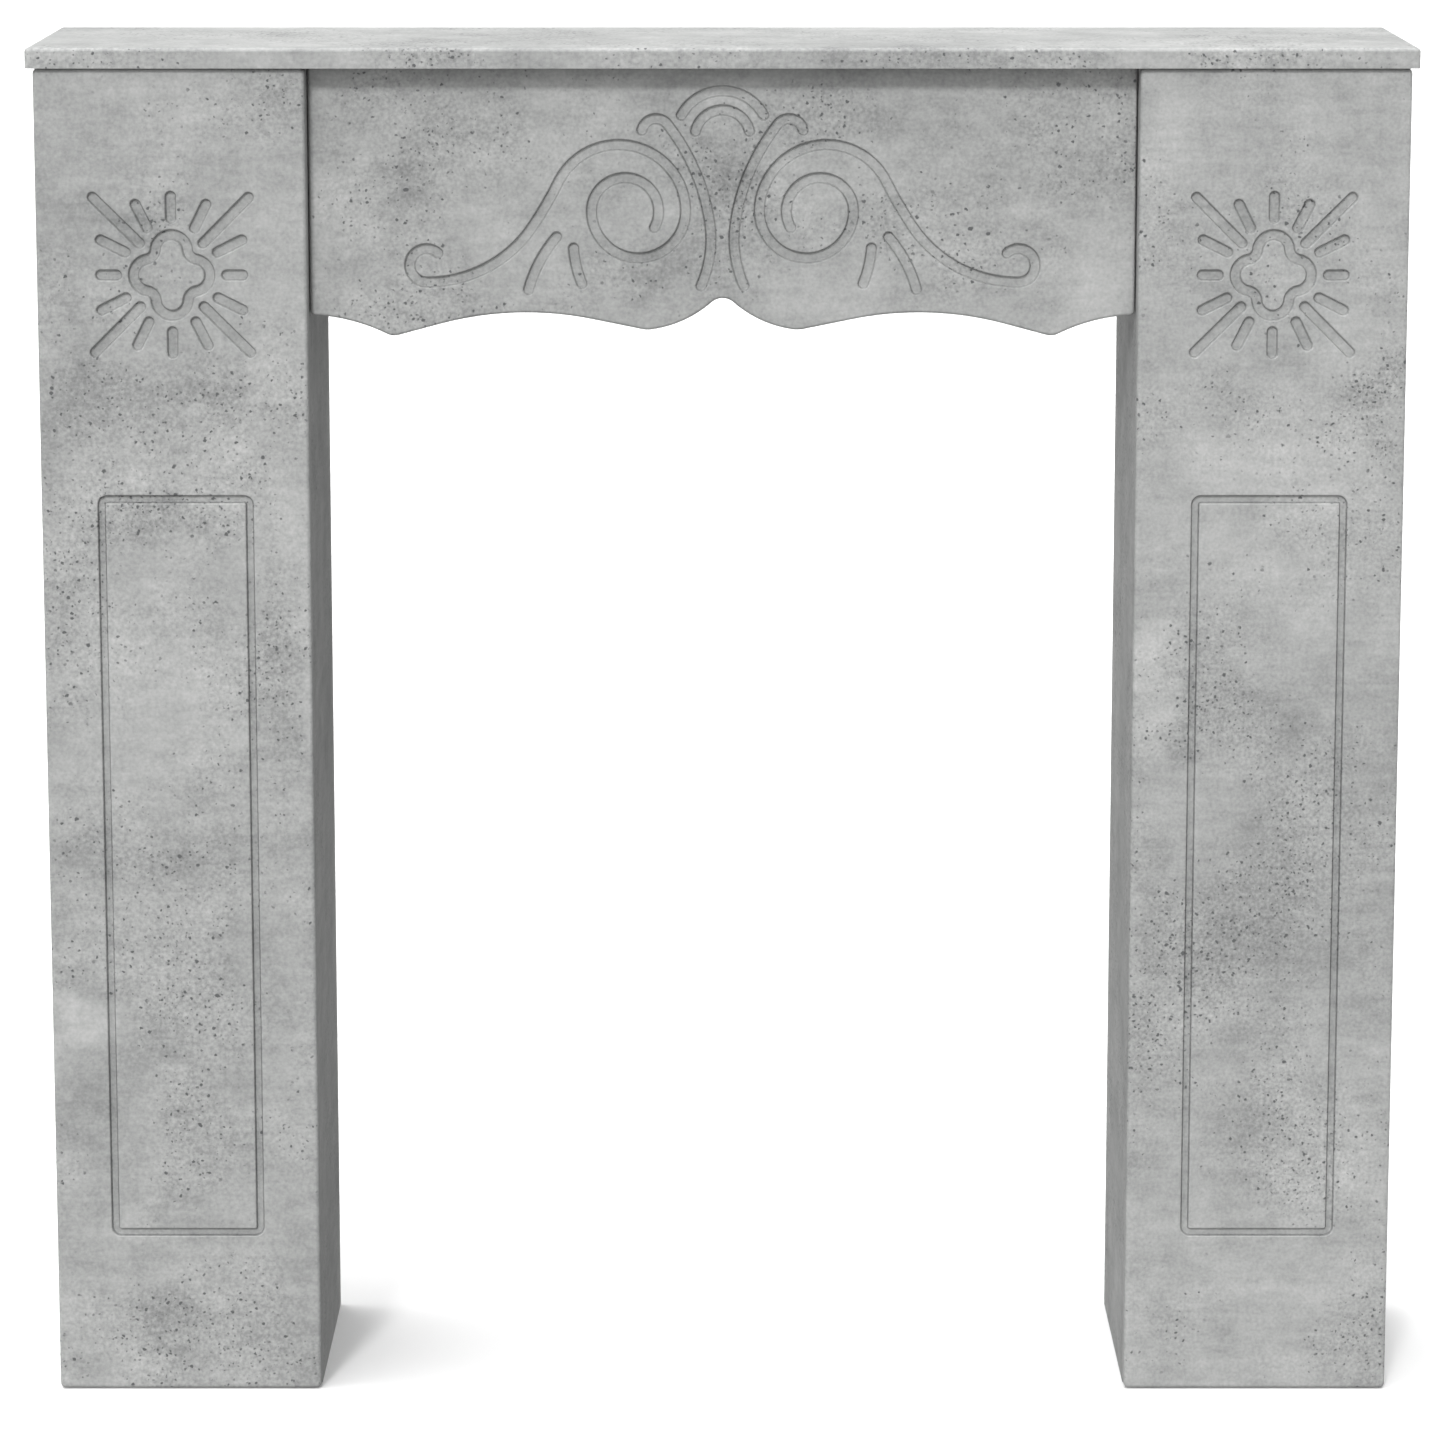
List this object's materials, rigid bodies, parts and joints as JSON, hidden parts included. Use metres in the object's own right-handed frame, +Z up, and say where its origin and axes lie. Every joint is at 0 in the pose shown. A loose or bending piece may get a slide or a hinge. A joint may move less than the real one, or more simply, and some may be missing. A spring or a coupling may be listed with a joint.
{
  "type": "fireplace surround",
  "caption": "Free-standing fireplace surround with box legs, routed rosettes and frames, a scalloped frieze with scrollwork and a mantel shelf, in concrete-look foil.",
  "frame": {"origin": "on the floor, under the middle of the mantel shelf's box", "axes": "+Z up, +X to the viewer's right, the front faces -Y and the back goes against the wall at +Y"},
  "size_m": [1.02, 0.225, 1.02],
  "materials": {
    "shelf_foil": "engineered-wood board wrapped in a matt printed foil that looks like light grey cast concrete",
    "leg_foil": "engineered-wood board wrapped in a matt printed foil that looks like light grey cast concrete",
    "frieze_foil": "engineered-wood board wrapped in a matt printed foil that looks like light grey cast concrete"
  },
  "bodies": {
    "root": {"mantel_shelf": "shelf_foil", "left_front_panel": "leg_foil", "right_front_panel": "leg_foil", "left_outer_side": "leg_foil", "left_inner_side": "leg_foil", "right_inner_side": "leg_foil", "right_outer_side": "leg_foil", "frieze_panel": "frieze_foil"}
  },
  "joints": []
}
